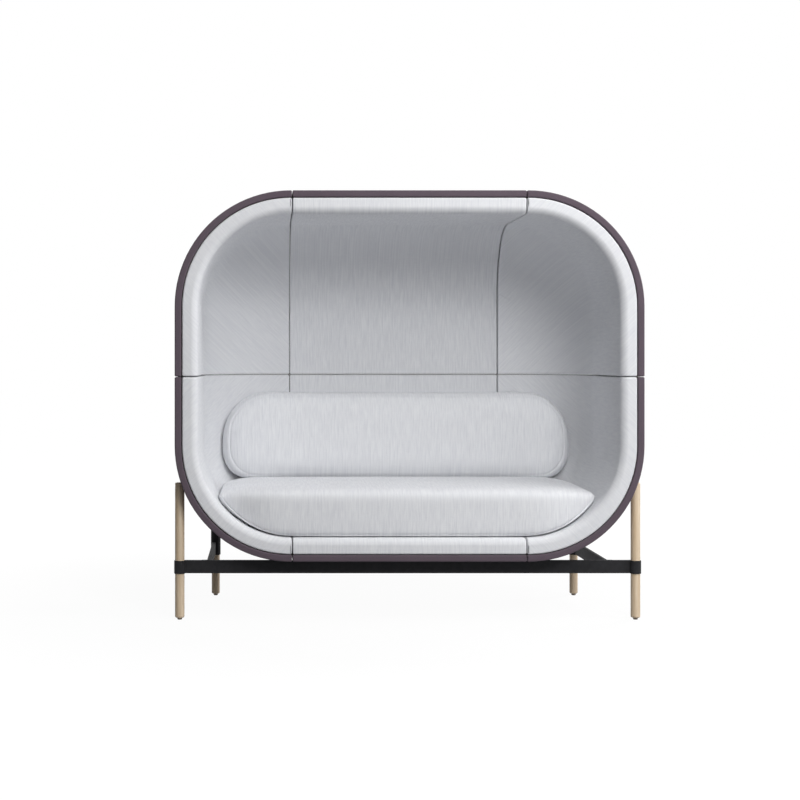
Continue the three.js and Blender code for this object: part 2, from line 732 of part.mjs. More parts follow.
// The six modules, each a cover, a board and a pad, drilled for what reaches into them
const pockets = joiners.map((joiner) => joinerShape(joiner, layerGap));
const shanks = shellFixings.map(shankHole);
for (const row of Object.keys(rows)) {
  for (const column of Object.keys(columns)) {
    const cell = moduleCell(row, column);
    const cuts = { cover: row === "lower" ? shanks : [], board: [...pockets, ...shanks], pad: [] };
    for (const [layer, whole] of Object.entries(layers)) {
      const part = drilled(whole.intersect(cell), cuts[layer]);
      piece(`${layer}_${row}_${column}`, geometryOf(part), layer);
    }
  }
}

export default lounge;
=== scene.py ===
import math

import bpy
from mathutils import Matrix, Vector
from mathutils.bvhtree import BVHTree


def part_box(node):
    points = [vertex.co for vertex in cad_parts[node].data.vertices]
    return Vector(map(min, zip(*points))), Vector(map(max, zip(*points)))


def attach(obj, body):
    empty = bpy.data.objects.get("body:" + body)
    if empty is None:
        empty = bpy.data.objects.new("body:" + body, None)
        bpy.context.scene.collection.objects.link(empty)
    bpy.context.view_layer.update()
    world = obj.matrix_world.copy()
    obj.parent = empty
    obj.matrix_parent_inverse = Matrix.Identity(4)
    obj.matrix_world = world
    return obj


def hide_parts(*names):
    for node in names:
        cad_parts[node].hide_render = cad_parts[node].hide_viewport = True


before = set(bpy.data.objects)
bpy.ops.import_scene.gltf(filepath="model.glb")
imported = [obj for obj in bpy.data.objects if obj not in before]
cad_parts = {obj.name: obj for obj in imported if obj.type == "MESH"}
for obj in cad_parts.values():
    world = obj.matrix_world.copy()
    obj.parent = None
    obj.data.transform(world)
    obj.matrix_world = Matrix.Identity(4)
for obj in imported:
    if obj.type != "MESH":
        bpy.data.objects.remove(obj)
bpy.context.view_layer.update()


# Studio: a white sweep under large soft lamps, most of their light from the upper right.
# The camera stands 5 m in front of the rim, left of the middle, at the photograph's view.
# The floor shows white with a faint shadow, and is duller in the light that it throws back.
CAMERA_PLACE = Vector((-0.473, -5.365, 0.889))
CAMERA_LENS = 67.41
CAMERA_SHIFT = (0.165, -0.05375)
FLOOR_SIZE = 60
FLOOR_SHADOW_SHARE = 0.05
FLOOR_SHADOW_REACH = (1.0, 2.4)
FLOOR_DULL = "#929396"
LAMPS = {
    "high_lamp": {"place": (0.6, -3.4, 4.2), "aim": (0, 0, 0.75), "size": 1.8, "watts": 57},
    "front_lamp": {"place": (1.2, -4.2, 2.8), "aim": (0, 0, 0.75), "size": 1.6, "watts": 81},
    "side_lamp": {"place": (3.2, -4.2, 2.8), "aim": (0, 0, 0.75), "size": 1.6, "watts": 14},
    "over_lamp": {"place": (2.2, -1.4, 3.6), "aim": (0, 0, 0.75), "size": 1.6, "watts": 55},
    "eye_lamp": {"place": (0.8, -4.6, 0.9), "aim": (0, 0, 0.5), "size": 1.2, "watts": 13},
    "low_lamp": {"place": (3.2, -1.2, 0.7), "aim": (0.5, 0, 0.3), "size": 1.2, "watts": 11},
    "back_lamp": {"place": (3.2, 1.8, 1.6), "aim": (0.5, 0.2, 0.2), "size": 1.4, "watts": 80},
    "rear_lamp": {"place": (-2.0, 4.4, 2.6), "aim": (0, 0, 0.7), "size": 1.8, "watts": 60},
}


def linear(colour):
    """The linear colour of an sRGB hex value."""
    parts = [int(colour[i:i + 2], 16) / 255 for i in (1, 3, 5)]
    return [p / 12.92 if p <= 0.04045 else ((p + 0.055) / 1.055) ** 2.4 for p in parts] + [1]


def add_node(tree, kind, inputs=None, **settings):
    """A node with its settings, each of its inputs a value or the socket that feeds it."""
    node = tree.nodes.new(kind)
    for name, value in settings.items():
        setattr(node, name, value)
    for name, value in (inputs or {}).items():
        if isinstance(value, bpy.types.NodeSocket):
            tree.links.new(value, node.inputs[name])
        else:
            node.inputs[name].default_value = value
    return node


def bare_material(name):
    """A new material without nodes, and its node tree."""
    material = bpy.data.materials.new(name)
    material.use_nodes = True
    material.node_tree.nodes.clear()
    return material, material.node_tree


def seen_directly(tree):
    """1 for rays that show the backdrop: from the camera, off gloss and through glass."""
    rays = add_node(tree, "ShaderNodeLightPath")
    gloss = add_node(tree, "ShaderNodeMath", {
        0: rays.outputs["Is Camera Ray"], 1: rays.outputs["Is Glossy Ray"],
    }, operation="MAXIMUM")
    both = add_node(tree, "ShaderNodeMath", {
        0: gloss.outputs[0], 1: rays.outputs["Is Transmission Ray"],
    }, operation="MAXIMUM")
    return both.outputs[0]


world = bpy.data.worlds.new("studio")
world.use_nodes = True
world.node_tree.nodes.clear()
bpy.context.scene.world = world
sky = world.node_tree
no_sky = add_node(sky, "ShaderNodeBackground", {"Strength": 0.0})
white_sky = add_node(sky, "ShaderNodeBackground", {"Color": linear("#ffffff"), "Strength": 1.0})
sky_mix = add_node(sky, "ShaderNodeMixShader", {
    0: seen_directly(sky), 1: no_sky.outputs[0], 2: white_sky.outputs[0],
})
add_node(sky, "ShaderNodeOutputWorld", {"Surface": sky_mix.outputs[0]})

bpy.ops.mesh.primitive_plane_add(size=FLOOR_SIZE, location=(0, 0, 0))
floor = bpy.context.object
floor.name = "floor"
floor_material, tree = bare_material("white_sweep")
floor_paint = add_node(tree, "ShaderNodeBsdfDiffuse", {"Color": linear("#ffffff")})
floor_reach = add_node(tree, "ShaderNodeVectorMath", {
    0: add_node(tree, "ShaderNodeTexCoord").outputs["Object"],
}, operation="LENGTH")
floor_glow = add_node(tree, "ShaderNodeMapRange", {
    "Value": floor_reach.outputs["Value"],
    "From Min": FLOOR_SHADOW_REACH[0], "From Max": FLOOR_SHADOW_REACH[1],
    "To Min": 1.0, "To Max": 1 / (1 - FLOOR_SHADOW_SHARE),
})
floor_light = add_node(tree, "ShaderNodeEmission", {
    "Color": linear("#ffffff"), "Strength": floor_glow.outputs[0],
})
shaded_glow = add_node(tree, "ShaderNodeMixShader", {
    0: FLOOR_SHADOW_SHARE, 1: floor_light.outputs[0], 2: floor_paint.outputs[0],
})
floor_dull = add_node(tree, "ShaderNodeBsdfDiffuse", {"Color": linear(FLOOR_DULL)})
floor_mix = add_node(tree, "ShaderNodeMixShader", {
    0: seen_directly(tree), 1: floor_dull.outputs[0], 2: shaded_glow.outputs[0],
})
add_node(tree, "ShaderNodeOutputMaterial", {"Surface": floor_mix.outputs[0]})
floor.data.materials.append(floor_material)

for lamp_name, lamp in LAMPS.items():
    bpy.ops.object.light_add(type="AREA", location=lamp["place"])
    light = bpy.context.object
    light.name = lamp_name
    direction = Vector(lamp["aim"]) - Vector(lamp["place"])
    light.rotation_euler = direction.to_track_quat("-Z", "Y").to_euler()
    light.data.shape = "DISK"
    light.data.size = lamp["size"]
    light.data.energy = lamp["watts"]

bpy.ops.object.camera_add(location=CAMERA_PLACE, rotation=(math.pi / 2, 0, 0))
camera = bpy.context.object
camera.data.lens = CAMERA_LENS
camera.data.shift_x, camera.data.shift_y = CAMERA_SHIFT
bpy.context.scene.camera = camera
bpy.context.scene.view_settings.view_transform = "Standard"


# Outer covers: six panels of dark plum wool over thin foam, each pulled over its own module.
# Their front edge turns in as a narrow lip round the rim, and a seam parts the modules.
SHELL_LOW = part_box("cover_lower_left")[0]
SHELL_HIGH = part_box("cover_upper_right")[1]
SHELL_FRONT, SHELL_BACK = SHELL_LOW.y, SHELL_HIGH.y
SHELL_MIDDLE = (SHELL_LOW + SHELL_HIGH) / 2
SHELL_HALF = (SHELL_HIGH - SHELL_LOW) / 2
CORNER_RADIUS = 0.388
FILLET_RADIUS = 0.318
CORNER_SEGMENTS = 24
FILLET_SEGMENTS = 16
SEAM_MIDDLE_X = (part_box("cover_lower_centre")[1].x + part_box("cover_lower_right")[0].x) / 2
SEAM_Z = (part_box("cover_lower_centre")[1].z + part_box("cover_upper_centre")[0].z) / 2
COVER_SEAM_GAP = 0.0018
COVER_THICKNESS = 0.012
LIP_DEPTH = 0.012
LIP_INSET = 0.0224
COVER_ROUND = 0.0042
COVER_ROUND_SEGMENTS = 4
SMOOTH_ANGLE = math.radians(38)
NEAR = 0.00005
COLUMNS = {"left": -1, "centre": 0, "right": 1}
ROWS = {"upper": 1, "lower": -1}
PLUM_SHADES = "#555058", "#66555f"
MELANGE = 0.0024
TWILL, TWILL_WANDER, TWILL_SHARE = 0.0042, 9.0, 0.11
PLUM_PATCH = 1 / 9


def pick(piece, kind, test):
    """In edit mode, selects the faces or the edges of a piece that pass a test."""
    bpy.context.view_layer.objects.active = piece
    bpy.ops.object.mode_set(mode="EDIT")
    bpy.ops.mesh.select_mode(type=kind)
    bpy.ops.mesh.select_all(action="DESELECT")
    bpy.ops.object.mode_set(mode="OBJECT")
    mesh = piece.data
    if kind == "FACE":
        for face in mesh.polygons:
            face.select = test(face)
    else:
        for edge in mesh.edges:
            edge.select = test(*(mesh.vertices[i].co for i in edge.vertices))
    bpy.ops.object.mode_set(mode="EDIT")


def made(name):
    """The object that the last operator made, named and with its place in its mesh."""
    piece = bpy.context.object
    piece.name = piece.data.name = name
    bpy.ops.object.transform_apply(location=True, rotation=True, scale=True)
    return piece


def alone(piece):
    """Leaves only this piece selected, in object mode."""
    if bpy.context.object and bpy.context.object.mode == "EDIT":
        bpy.ops.object.mode_set(mode="OBJECT")
    bpy.ops.object.select_all(action="DESELECT")
    piece.select_set(True)
    bpy.context.view_layer.objects.active = piece


def apply_modifier(piece, kind, **settings):
    """Adds a modifier with its settings to a piece, and applies it."""
    alone(piece)
    modifier = piece.modifiers.new(kind.lower(), kind)
    for name, value in settings.items():
        setattr(modifier, name, value)
    bpy.ops.object.modifier_apply(modifier=modifier.name)


def smooth(piece):
    """Shades a piece smooth over its soft edges and keeps its flat faces flat."""
    alone(piece)
    bpy.ops.object.shade_smooth_by_angle(angle=SMOOTH_ANGLE, keep_sharp_edges=False)
    apply_modifier(piece, "WEIGHTED_NORMAL", keep_sharp=True, weight=50)


def finished_in(piece, material):
    """Gives a piece its one material."""
    piece.data.materials.clear()
    piece.data.materials.append(material)


def dressed(piece, material, slot, body, *nodes):
    """Gives a finished piece its material, and puts it on its body for its nodes. The slot is not used."""
    finished_in(piece, material)
    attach(piece, body)
    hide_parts(*nodes)


def shell_skin(name, inset):
    """The shell's skin at an inset: a block with round corners and a round back, open in front."""
    bpy.ops.object.select_all(action="DESELECT")
    size = SHELL_HALF * 2 - Vector((2 * inset, inset, 2 * inset))
    bpy.ops.mesh.primitive_cube_add(size=1, location=SHELL_MIDDLE - Vector((0, inset / 2, 0)), scale=size)
    skin = made(name)
    back = SHELL_BACK - inset
    pick(skin, "FACE", lambda face: face.normal.y < -0.5)
    bpy.ops.mesh.delete(type="FACE")
    pick(skin, "EDGE", lambda a, b: abs(a.y - b.y) > SHELL_HALF.y)
    bpy.ops.mesh.bevel(offset=CORNER_RADIUS - inset, segments=CORNER_SEGMENTS, affect="EDGES")
    pick(skin, "EDGE", lambda a, b: min(a.y, b.y) > back - NEAR)
    bpy.ops.mesh.bevel(offset=FILLET_RADIUS - inset, segments=FILLET_SEGMENTS, affect="EDGES")
    bpy.ops.object.mode_set(mode="OBJECT")
    return skin


def inset_at(point):
    """How far inside the shell's outline a point lies, seen from the front."""
    across = abs(point.x) - (SHELL_HALF.x - CORNER_RADIUS)
    up = abs(point.z - SHELL_MIDDLE.z) - (SHELL_HALF.z - CORNER_RADIUS)
    return CORNER_RADIUS - math.hypot(max(across, 0), max(up, 0)) - min(max(across, up), 0)


def module(whole, name, row, column, gap):
    """One of six modules cut from a whole layer, with a gap at each seam to the next."""
    piece = bpy.data.objects.new(name, whole.data.copy())
    bpy.context.scene.collection.objects.link(piece)
    alone(piece)
    up, side = ROWS[row], COLUMNS[column]
    planes = [(Vector((0, 0, SEAM_Z + up * gap / 2)), Vector((0, 0, -up)))]
    if side:
        planes.append((Vector((side * (SEAM_MIDDLE_X + gap / 2), 0, 0)), Vector((-side, 0, 0))))
    else:
        for way in (-1, 1):
            planes.append((Vector((way * (SEAM_MIDDLE_X - gap / 2), 0, 0)), Vector((way, 0, 0))))
    bpy.ops.object.mode_set(mode="EDIT")
    for place, normal in planes:
        bpy.ops.mesh.select_all(action="SELECT")
        bpy.ops.mesh.bisect(plane_co=place, plane_no=normal, use_fill=True, clear_outer=True)
    tangent = SHELL_HALF.x - CORNER_RADIUS
    if side:
        pick(piece, "EDGE", lambda a, b: max(abs(abs(p.x) - tangent) for p in (a, b)) < NEAR)
        bpy.ops.mesh.dissolve_edges(use_verts=True)
    bpy.ops.object.mode_set(mode="OBJECT")
    piece["cuts"] = [[*place, *normal] for place, normal in planes]
    return piece


def on_cut(piece, a, b):
    """Whether an edge lies in one of the planes that a module was cut along."""
    for cut in piece["cuts"]:
        place, normal = Vector(cut[:3]), Vector(cut[3:])
        if max(abs((p - place).dot(normal)) for p in (a, b)) < NEAR:
            return True
    return False


def round_edges(piece, radius, segments, test):
    """Rounds the edges of a module at its seams, and those of its rim that pass a test."""
    pick(piece, "EDGE", lambda a, b: on_cut(piece, a, b) or test(a, b))
    bpy.ops.mesh.bevel(offset=radius, segments=segments, affect="EDGES")
    bpy.ops.object.mode_set(mode="OBJECT")
    del piece["cuts"]
    smooth(piece)


def plum_wool():
    """Woven wool in a plum and grey melange: dull, a little hairy, with a faint slanting twill.
    Its flecks and twill are drawn coarser than real yarn, which is too fine to show."""
    material, tree = bare_material("plum_melange_wool")
    place = add_node(tree, "ShaderNodeTexCoord").outputs["Object"]
    yarn = add_node(tree, "ShaderNodeTexNoise", {
        "Vector": place, "Scale": 1 / MELANGE, "Detail": 2.0, "Roughness": 0.6,
    })
    cloud = add_node(tree, "ShaderNodeTexNoise", {
        "Vector": place, "Scale": 1 / PLUM_PATCH, "Detail": 2.0,
    })
    axes = add_node(tree, "ShaderNodeSeparateXYZ", {"Vector": place})
    flat = add_node(tree, "ShaderNodeMath", {0: axes.outputs["X"], 1: axes.outputs["Y"]})
    slant = add_node(tree, "ShaderNodeMath", {0: flat.outputs[0], 1: axes.outputs["Z"]})
    wander = add_node(tree, "ShaderNodeMath", {
        0: yarn.outputs["Fac"], 1: TWILL_WANDER,
    }, operation="MULTIPLY")
    turns = add_node(tree, "ShaderNodeMath", {
        0: slant.outputs[0], 1: math.tau / (TWILL * math.sqrt(2)), 2: wander.outputs[0],
    }, operation="MULTIPLY_ADD")
    twill = add_node(tree, "ShaderNodeMath", {0: turns.outputs[0]}, operation="SINE")
    tone = add_node(tree, "ShaderNodeMath", {
        0: twill.outputs[0], 1: TWILL_SHARE, 2: yarn.outputs["Fac"],
    }, operation="MULTIPLY_ADD")
    blend = add_node(tree, "ShaderNodeMapRange", {
        "Value": tone.outputs[0], "From Min": 0.3, "From Max": 0.7,
    })
    fleck = add_node(tree, "ShaderNodeMix", {
        0: blend.outputs[0], 6: linear(PLUM_SHADES[0]), 7: linear(PLUM_SHADES[1]),
    }, data_type="RGBA")
    shade = add_node(tree, "ShaderNodeMapRange", {
        "Value": cloud.outputs["Fac"], "From Min": 0.3, "From Max": 0.7, "To Min": 0.96, "To Max": 1.04,
    })
    colour = add_node(tree, "ShaderNodeVectorMath", {
        0: fleck.outputs[2], 1: shade.outputs[0],
    }, operation="MULTIPLY")
    bump = add_node(tree, "ShaderNodeBump", {
        "Height": tone.outputs[0], "Strength": 0.5, "Distance": 0.0006,
    })
    shader = add_node(tree, "ShaderNodeBsdfPrincipled", {
        "Base Color": colour.outputs[0], "Roughness": 0.9, "Specular IOR Level": 0.25,
        "Sheen Weight": 0.12, "Sheen Roughness": 0.5, "Normal": bump.outputs[0],
    })
    add_node(tree, "ShaderNodeOutputMaterial", {"Surface": shader.outputs[0]})
    return material


plum = plum_wool()
cover_whole = shell_skin("cover_whole", 0)
apply_modifier(cover_whole, "SOLIDIFY", thickness=COVER_THICKNESS, offset=-1, use_even_offset=True)
bpy.ops.object.mode_set(mode="EDIT")
bpy.ops.mesh.select_all(action="SELECT")
bpy.ops.mesh.bisect(plane_co=(0, SHELL_FRONT + LIP_DEPTH, 0), plane_no=(0, 1, 0))
pick(cover_whole, "FACE", lambda face: (
    face.center.y < SHELL_FRONT + LIP_DEPTH and inset_at(face.center) > COVER_THICKNESS / 2
    and abs(face.normal.y) < 0.5
))
bpy.ops.mesh.extrude_region_shrink_fatten(
    TRANSFORM_OT_shrink_fatten={"value": LIP_INSET - COVER_THICKNESS, "use_even_offset": True})
bpy.ops.object.mode_set(mode="OBJECT")
for row in ROWS:
    for column in COLUMNS:
        name = f"{row}_{column}"
        cover = module(cover_whole, f"cover_{name}_wool", row, column, COVER_SEAM_GAP)
        round_edges(cover, COVER_ROUND, COVER_ROUND_SEGMENTS, lambda a, b: (
            max(a.y, b.y) < SHELL_FRONT + NEAR
            and (max(inset_at(a), inset_at(b)) < NEAR or min(inset_at(a), inset_at(b)) > LIP_INSET - NEAR)
        ))
        dressed(cover, plum, "outer_fabric", "shell_and_frame", f"cover_{name}")
bpy.data.objects.remove(cover_whole)


# Boards and joining plates: moulded birch plywood under each cover, its near black colour painted
# shade for the seams, with zinc plated steel plates across them. All of it is closed in.
PLY_GRAIN, PLY_FIGURE = 0.0014, 0.04


def grained(name, shader_inputs, fine, coarse, pale, dark, bump_depth, stretch=(1, 1, 1)):
    """A finish with a grain between two tones: fine and coarse are its sizes in metres.
    Grit and grain too fine to show are drawn as coarse as they need to be."""
    material, tree = bare_material(name)
    place = add_node(tree, "ShaderNodeTexCoord").outputs["Object"]
    space = add_node(tree, "ShaderNodeMapping", {"Vector": place, "Scale": stretch})
    grit = add_node(tree, "ShaderNodeTexNoise", {
        "Vector": space.outputs[0], "Scale": 1 / fine, "Detail": 3.0, "Roughness": 0.6,
    })
    cloud = add_node(tree, "ShaderNodeTexNoise", {
        "Vector": space.outputs[0], "Scale": 1 / coarse, "Detail": 2.0, "Distortion": 0.4,
    })
    mixed = add_node(tree, "ShaderNodeMath", {
        0: grit.outputs["Fac"], 1: 0.5, 2: cloud.outputs["Fac"],
    }, operation="MULTIPLY_ADD")
    blend = add_node(tree, "ShaderNodeMapRange", {
        "Value": mixed.outputs[0], "From Min": 0.5, "From Max": 1.0,
    })
    colour = add_node(tree, "ShaderNodeMix", {
        0: blend.outputs[0], 6: linear(dark), 7: linear(pale),
    }, data_type="RGBA")
    bump = add_node(tree, "ShaderNodeBump", {
        "Height": grit.outputs["Fac"], "Strength": 0.4, "Distance": bump_depth,
    })
    shader = add_node(tree, "ShaderNodeBsdfPrincipled", {
        "Base Color": colour.outputs[2], "Normal": bump.outputs[0], **shader_inputs,
    })
    add_node(tree, "ShaderNodeOutputMaterial", {"Surface": shader.outputs[0]})
    return material


# Birch ply, pressed: a dull brown black that is painted shade for the seams, its fine grain upright.
seam_shade_plywood = grained(
    "dark_birch_painted_seam_shade", {"Roughness": 0.7}, PLY_GRAIN, PLY_FIGURE,
    pale="#37302d", dark="#2a2422", bump_depth=0.0002, stretch=(1, 1, 0.08))
# Zinc plating on steel: a light, faintly blue metal with a soft and slightly cloudy gloss.
zinc = grained(
    "zinc_plated_steel", {"Roughness": 0.36, "Metallic": 1.0}, fine=0.0006, coarse=0.01,
    pale="#b4b7bb", dark="#989ba0", bump_depth=0.00005)
for name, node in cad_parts.items():
    if name.startswith("board_"):
        finished_in(node, seam_shade_plywood)
    elif name.startswith("joining_plate_"):
        finished_in(node, zinc)


# Inner pads: six foam panels under a pale grey wool with slubs in its yarn, 53 mm thick.
# Their front edge rolls in by 25 mm, and where they meet each edge is rounded into the seam.
# On the corner panels the cloth is turned, so that its streaks slant.
PAD_INSET = 0.025
PAD_SEAM_GAP = 0.0032
PAD_THICKNESS = 0.053
PAD_ROLL = 0.025
PAD_ROLL_SEGMENTS = 9
PAD_ROUND = 0.0052
PAD_ROUND_SEGMENTS = 4
SLUB_WIDTH, SLUB_LENGTH, SLUB_SHARE = 0.0054, 0.075, 0.55
FINE_WIDTH, FINE_LENGTH, FINE_SHARE = 0.0027, 0.027, 0.25
WEFT_SHARE, PATCH_SHARE, THREAD_SHARE = 0.12, 0.12, 0.25
PALE_PATCH = 1 / 7
WEAVE = 0.0024
STRAIGHT_SHADES = "#e9eaec", "#dbdce0"
SLANTING_SHADES = "#e8e9eb", "#dedfe3"
CORNER_LAY = math.pi / 4


def pale_wool(name, lay, pale, shade):
    """Woven wool with slubs: thick places in the yarn that show as faint streaks along it.
    Slubs and weave are drawn coarser than real yarn, which is too fine to show."""
    material, tree = bare_material(name)
    place = add_node(tree, "ShaderNodeTexCoord").outputs["Object"]
    turned = add_node(tree, "ShaderNodeMapping", {"Vector": place, "Rotation": (0, lay, 0)})
    axes = add_node(tree, "ShaderNodeSeparateXYZ", {"Vector": turned.outputs[0]})
    along = add_node(tree, "ShaderNodeMath", {0: axes.outputs["Y"], 1: axes.outputs["Z"]})
    cloth = add_node(tree, "ShaderNodeCombineXYZ", {"X": axes.outputs["X"], "Y": along.outputs[0]})
    cloud = add_node(tree, "ShaderNodeTexNoise", {
        "Vector": place, "Scale": 1 / PALE_PATCH, "Detail": 3.0,
    })
    layers = []
    for width, length, share in (
            (SLUB_WIDTH, SLUB_LENGTH, SLUB_SHARE), (FINE_WIDTH, FINE_LENGTH, FINE_SHARE),
            (FINE_LENGTH, FINE_WIDTH, WEFT_SHARE)):
        space = add_node(tree, "ShaderNodeMapping", {
            "Vector": cloth.outputs[0], "Scale": (1 / width, 1 / length, 1),
        })
        streaks = add_node(tree, "ShaderNodeTexNoise", {
            "Vector": space.outputs[0], "Scale": 1.0, "Detail": 1.0, "Roughness": 0.5,
        })
        layers.append((streaks.outputs["Fac"], share))
    mottled = 0.0
    for layer, share in (*layers, (cloud.outputs["Fac"], PATCH_SHARE)):
        mottled = add_node(tree, "ShaderNodeMath", {
            0: layer, 1: share, 2: mottled,
        }, operation="MULTIPLY_ADD").outputs[0]
    blend = add_node(tree, "ShaderNodeMapRange", {
        "Value": mottled, "From Min": 0.36, "From Max": 0.66,
    })
    colour = add_node(tree, "ShaderNodeMix", {
        0: blend.outputs[0], 6: linear(shade), 7: linear(pale),
    }, data_type="RGBA")
    weave = []
    for axis in (axes.outputs["X"], along.outputs[0]):
        turns = add_node(tree, "ShaderNodeMath", {
            0: axis, 1: math.tau / WEAVE,
        }, operation="MULTIPLY")
        weave.append(add_node(tree, "ShaderNodeMath", {0: turns.outputs[0]}, operation="SINE"))
    threads = add_node(tree, "ShaderNodeMath", {
        0: weave[0].outputs[0], 1: weave[1].outputs[0],
    }, operation="MULTIPLY")
    height = add_node(tree, "ShaderNodeMath", {
        0: threads.outputs[0], 1: THREAD_SHARE, 2: mottled,
    }, operation="MULTIPLY_ADD")
    bump = add_node(tree, "ShaderNodeBump", {
        "Height": height.outputs[0], "Strength": 0.25, "Distance": 0.0006,
    })
    shader = add_node(tree, "ShaderNodeBsdfPrincipled", {
        "Base Color": colour.outputs[2], "Roughness": 0.95, "Specular IOR Level": 0.2,
        "Sheen Weight": 0.1, "Sheen Roughness": 0.5, "Normal": bump.outputs[0],
    })
    add_node(tree, "ShaderNodeOutputMaterial", {"Surface": shader.outputs[0]})
    return material


pale_straight = pale_wool("pale_slub_wool", 0.0, *STRAIGHT_SHADES)
pale_by_slant = {
    0: pale_straight,
    -1: pale_wool("pale_slub_wool_rising", -CORNER_LAY, *SLANTING_SHADES),
    1: pale_wool("pale_slub_wool_falling", CORNER_LAY, *SLANTING_SHADES),
}
pad_whole = shell_skin("pad_whole", PAD_INSET)
apply_modifier(pad_whole, "SOLIDIFY", thickness=PAD_THICKNESS, offset=-1, use_even_offset=True)
pick(pad_whole, "EDGE", lambda a, b: (
    max(a.y, b.y) < SHELL_FRONT + NEAR and min(inset_at(a), inset_at(b)) > PAD_INSET + PAD_THICKNESS - NEAR
))
bpy.ops.mesh.bevel(offset=PAD_ROLL, segments=PAD_ROLL_SEGMENTS, affect="EDGES")
bpy.ops.object.mode_set(mode="OBJECT")
for row in ROWS:
    for column in COLUMNS:
        name = f"{row}_{column}"
        pad = module(pad_whole, f"pad_{name}_wool", row, column, PAD_SEAM_GAP)
        round_edges(pad, PAD_ROUND, PAD_ROUND_SEGMENTS, lambda a, b: (
            max(a.y, b.y) < SHELL_FRONT + NEAR and max(inset_at(a), inset_at(b)) < PAD_INSET + NEAR
        ))
        wool = pale_by_slant[-ROWS[row] * COLUMNS[column]]
        dressed(pad, wool, "inner_fabric", "shell_and_frame", f"pad_{name}")
bpy.data.objects.remove(pad_whole)


# Seat cushion: one thick foam slab under the same wool, its ends drawn in along the curve of
# the shell. The cover is blown up over the foam by simulation, and lies flat on the pads.
# Its front rounds back towards both tips, and is tucked under below a sewn hem.
VOXEL = 0.008
SEAT_SHRINK = 0.0012
SEAT_SWELL = 0.0042
EASE_FACTOR = 0.5
EASE_BEFORE, EASE_AFTER = 8, 5
CLOTH_FRAMES = 20
CLOTH_PRESSURE = 4
REST_GAP = 0.0003
HEM_INSET = 0.0865
HEM_RISE = 0.008
HEM_TIP_X = 0.66
TIP_BACK = 0.05
TIP_FROM_X = 0.42
TUCK_DROP = 0.0036
TUCK_HEIGHT = 0.003
TUCK_DEPTH = 0.02
TUCK_REACH = 0.09
SEAM_DEPTH = 0.0024
SEAM_WIDTH = 0.0032
SEAM_REACH = 3
PADS_INSET = PAD_INSET + PAD_THICKNESS


def eased(piece, rounds):
    """Evens out a mesh, each point towards its neighbours, for some rounds."""
    apply_modifier(piece, "SMOOTH", factor=EASE_FACTOR, iterations=rounds)


def mesh_box(piece):
    """The lowest and the highest corner of the box round a mesh."""
    corners = [corner.co for corner in piece.data.vertices]
    low = Vector(min(corner[i] for corner in corners) for i in range(3))
    high = Vector(max(corner[i] for corner in corners) for i in range(3))
    return low, high


def foam_block(node, name, shrink):
    """A closed even mesh in a soft node's form, its facets eased away, a little smaller."""
    piece = bpy.data.objects.new(name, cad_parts[node].data.copy())
    bpy.context.scene.collection.objects.link(piece)
    pick(piece, "FACE", lambda face: True)
    bpy.ops.mesh.remove_doubles(threshold=NEAR)
    bpy.ops.transform.shrink_fatten(value=-shrink)
    bpy.ops.object.mode_set(mode="OBJECT")
    apply_modifier(piece, "REMESH", mode="VOXEL", voxel_size=VOXEL)
    eased(piece, EASE_BEFORE)
    return piece


def stuff(piece, swell):
    """Blows the cover up like fabric over foam, each point by no more than the swell."""
    start = [corner.co.copy() for corner in piece.data.vertices]
    cloth = piece.modifiers.new("cover", "CLOTH")
    cloth.settings.use_pressure = True
    cloth.settings.uniform_pressure_force = CLOTH_PRESSURE
    cloth.settings.effector_weights.gravity = 0
    for step in range(1, CLOTH_FRAMES + 1):
        bpy.context.scene.frame_set(step)
    alone(piece)
    bpy.ops.object.modifier_apply(modifier=cloth.name)
    bpy.context.scene.frame_set(1)
    for corner, rest in zip(piece.data.vertices, start):
        move = corner.co - rest
        corner.co = rest + move * min(1, swell / max(move.length, swell))
    eased(piece, EASE_AFTER)


def stretched(piece, node, axes, below=Vector(), above=Vector()):
    """Stretches an eased cover along some axes, back over its foam's space and as much beyond."""
    low, high = mesh_box(piece)
    ratio, middle = [1, 1, 1], (low + high) / 2
    space_low, space_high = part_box(node)
    space_low, space_high = space_low - below, space_high + above
    for i in axes:
        ratio[i] = (space_high[i] - space_low[i]) / (high[i] - low[i])
        middle[i] = (space_high[i] + space_low[i]) / 2
    stretch = Matrix.Translation(middle) @ Matrix.Diagonal((*ratio, 1))
    piece.data.transform(stretch @ Matrix.Translation(-(low + high) / 2))


def upholstered(piece):
    """The last subdivision of a stuffed cover, and its smooth shading."""
    apply_modifier(piece, "SUBSURF", levels=1, render_levels=1)
    alone(piece)
    bpy.ops.object.shade_smooth()


def kept_off_pads(piece, gap):
    """Presses a soft piece flat where it would reach into the pads under, beside and behind it."""
    inset = PADS_INSET + gap
    arm = FILLET_RADIUS - inset
    core = Vector((SHELL_HALF.x - CORNER_RADIUS, 0, SHELL_HALF.z - CORNER_RADIUS))
    for corner in piece.data.vertices:
        point = corner.co
        point.y = min(point.y, SHELL_BACK - inset)
        turn = max(point.y - (SHELL_BACK - FILLET_RADIUS), 0)
        reach = CORNER_RADIUS - inset - arm + math.sqrt(max(arm ** 2 - turn ** 2, 0))
        from_middle = point - SHELL_MIDDLE
        inner = Vector((
            max(-core.x, min(core.x, from_middle.x)), from_middle.y,
            max(-core.z, min(core.z, from_middle.z)),
        ))
        out = from_middle - inner
        if out.length > reach:
            corner.co = SHELL_MIDDLE + inner + out * (reach / out.length)


